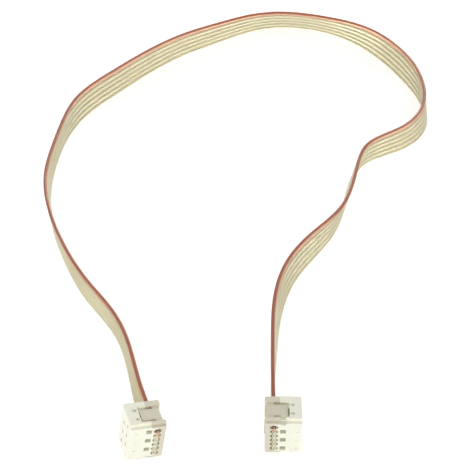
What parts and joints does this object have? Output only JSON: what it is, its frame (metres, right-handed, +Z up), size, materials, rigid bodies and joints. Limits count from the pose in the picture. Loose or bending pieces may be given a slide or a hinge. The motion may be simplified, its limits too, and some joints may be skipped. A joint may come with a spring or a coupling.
{
  "type": "ribbon cable",
  "caption": "Flat ribbon cable with one red marker wire, standing on its edge in a tall open loop, with a small ivory insulation-displacement socket connector latched on each end.",
  "frame": {"origin": "on the surface under the right connector, halfway between its front and its back, and in X in the middle of the solid part of the end face it stands on", "axes": "+Z up along the row of wires, +X out of the right connector's mating face, +Y along its ribbon, from the connector's open front towards the loop"},
  "size_m": [0.1063, 0.1843, 0.0113],
  "materials": {
    "natural_insulation": "soft natural vinyl, slightly translucent, satin",
    "red_insulation": "soft brick-red vinyl, satin",
    "copper_strand": "fine tinned copper strands, dull",
    "body_plastic": "ivory moulded plastic, satin",
    "cover_plastic": "ivory moulded plastic, satin",
    "contact_metal": "tin-plated spring bronze"
  },
  "bodies": {
    "root": {"ribbon_insulation": "natural_insulation", "red_wire_insulation": "red_insulation", "conductor_1": "copper_strand", "conductor_2": "copper_strand", "conductor_3": "copper_strand", "conductor_4": "copper_strand", "conductor_5": "copper_strand", "conductor_6": "copper_strand", "left_housing": "body_plastic", "left_cover": "cover_plastic", "left_contact_1": "contact_metal", "left_contact_2": "contact_metal", "left_contact_3": "contact_metal", "left_contact_4": "contact_metal", "left_contact_5": "contact_metal", "left_contact_6": "contact_metal", "right_housing": "body_plastic", "right_cover": "cover_plastic", "right_contact_1": "contact_metal", "right_contact_2": "contact_metal", "right_contact_3": "contact_metal", "right_contact_4": "contact_metal", "right_contact_5": "contact_metal", "right_contact_6": "contact_metal"}
  },
  "joints": []
}
